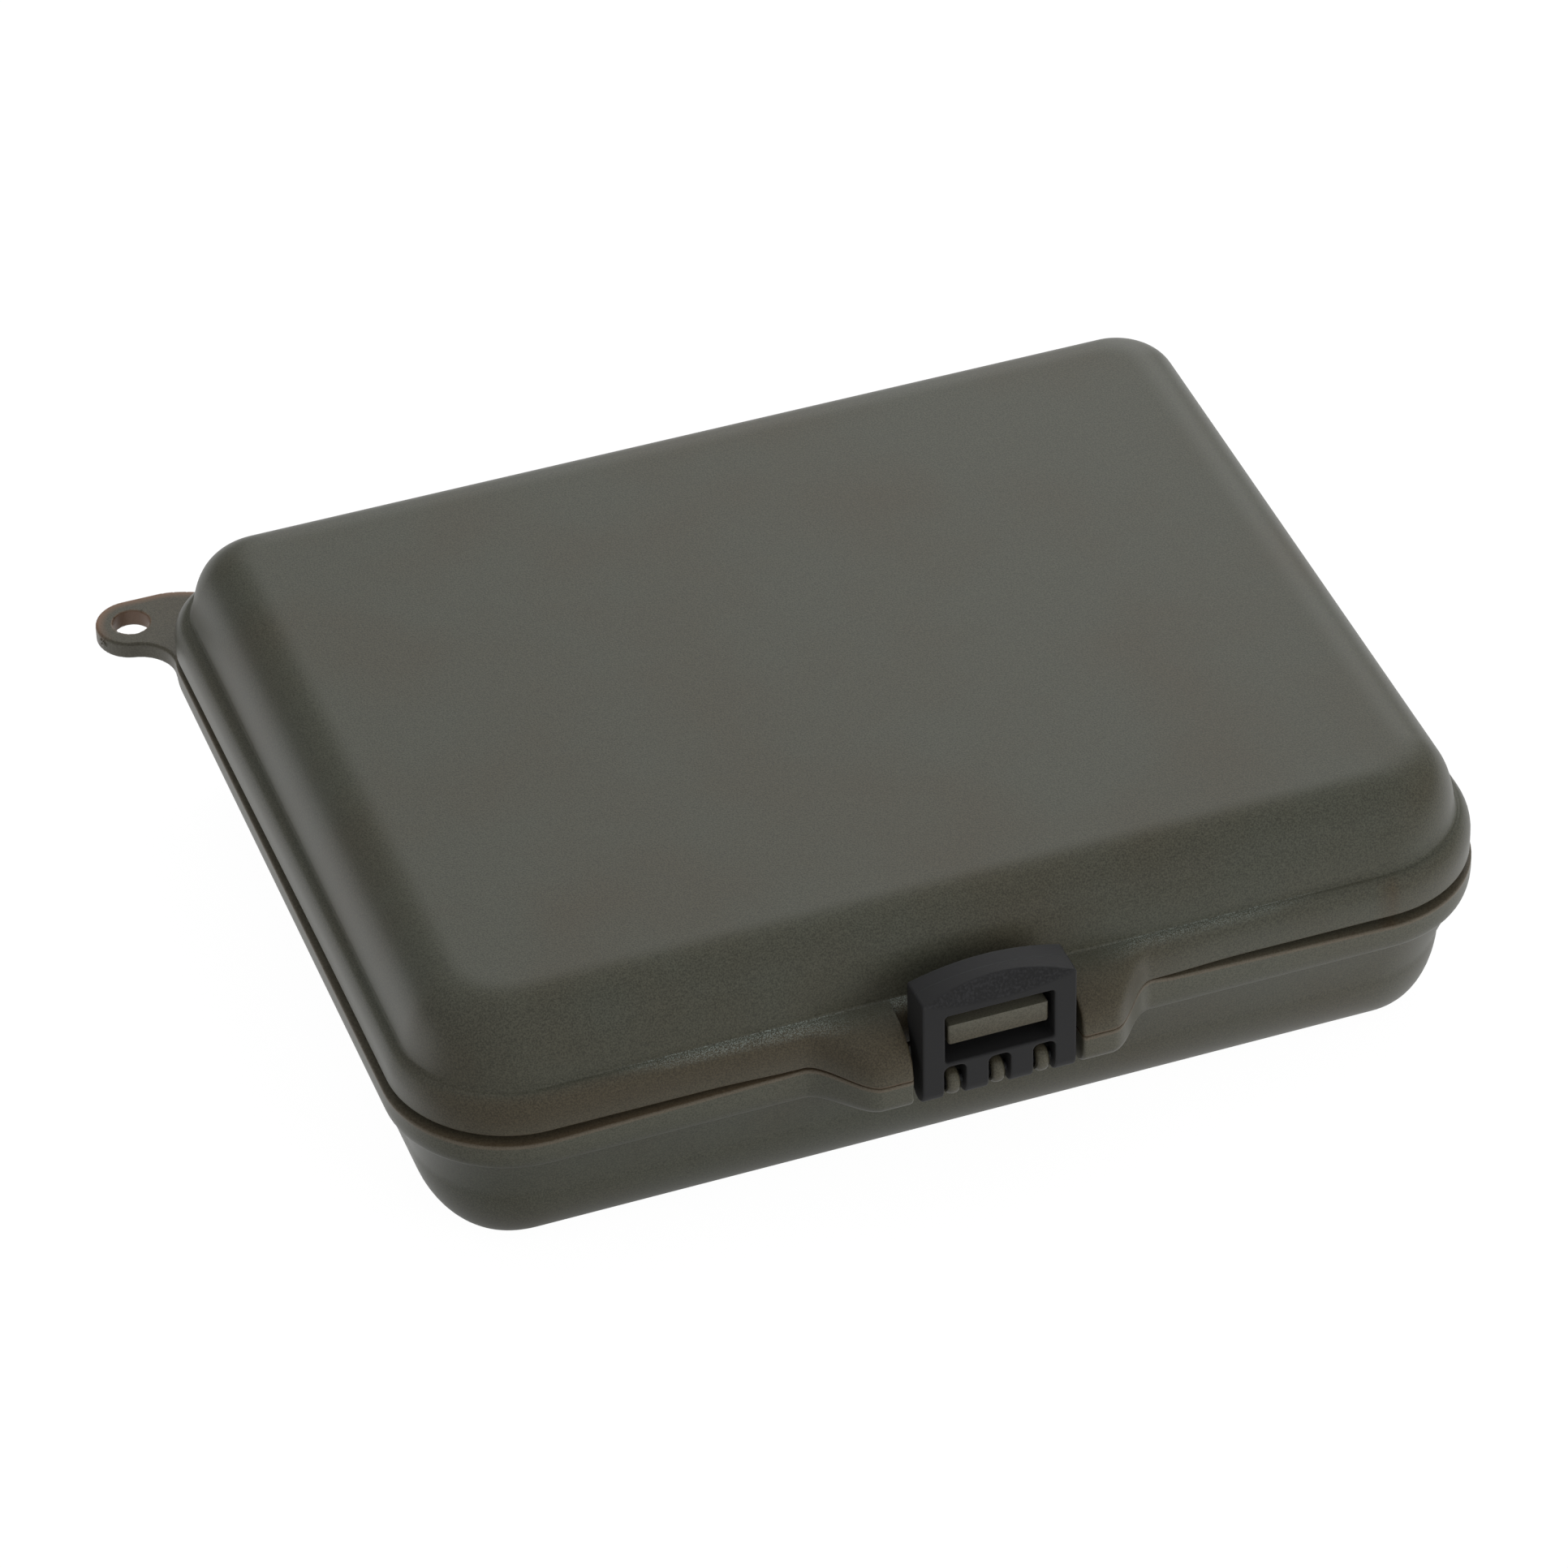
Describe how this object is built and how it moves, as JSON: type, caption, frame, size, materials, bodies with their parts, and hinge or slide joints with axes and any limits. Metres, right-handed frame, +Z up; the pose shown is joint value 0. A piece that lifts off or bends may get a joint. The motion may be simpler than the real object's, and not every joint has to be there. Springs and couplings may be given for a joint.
{
  "type": "waterproof hard case",
  "caption": "Shallow waterproof hard case: moulded tub and hinged lid with a rubber seal, a front snap latch and a lanyard ear at one corner.",
  "frame": {"origin": "centre of the flat underside, in the middle of the rim's length and depth", "axes": "+X along the case's length to the right, +Y from the latch to the hinges, +Z up from the underside to the lid"},
  "size_m": [0.1631, 0.1389, 0.0414],
  "materials": {
    "olive_plastic": "fine-textured semi-matte olive drab",
    "latch_plastic": "matte black",
    "seal_rubber": "matte black rubber",
    "pin_steel": "plain drawn steel"
  },
  "bodies": {
    "base": {"base_shell": "olive_plastic", "latch_pin": "pin_steel", "hinge_pin_left": "pin_steel", "hinge_pin_right": "pin_steel"},
    "lid": {"lid_shell": "olive_plastic", "seal_ring": "seal_rubber"},
    "latch": {"latch": "latch_plastic"}
  },
  "joints": [
    {"name": "lid_hinge", "type": "hinge", "parent": "base", "child": "lid", "pos_m": [0, 0.0652, 0.0237], "axis": [-1, 0, 0], "range_deg": [0, 180]},
    {"name": "latch_hinge", "type": "hinge", "parent": "base", "child": "latch", "pos_m": [0, -0.0675, 0.0214], "axis": [1, 0, 0], "range_deg": [0, 170]}
  ]
}
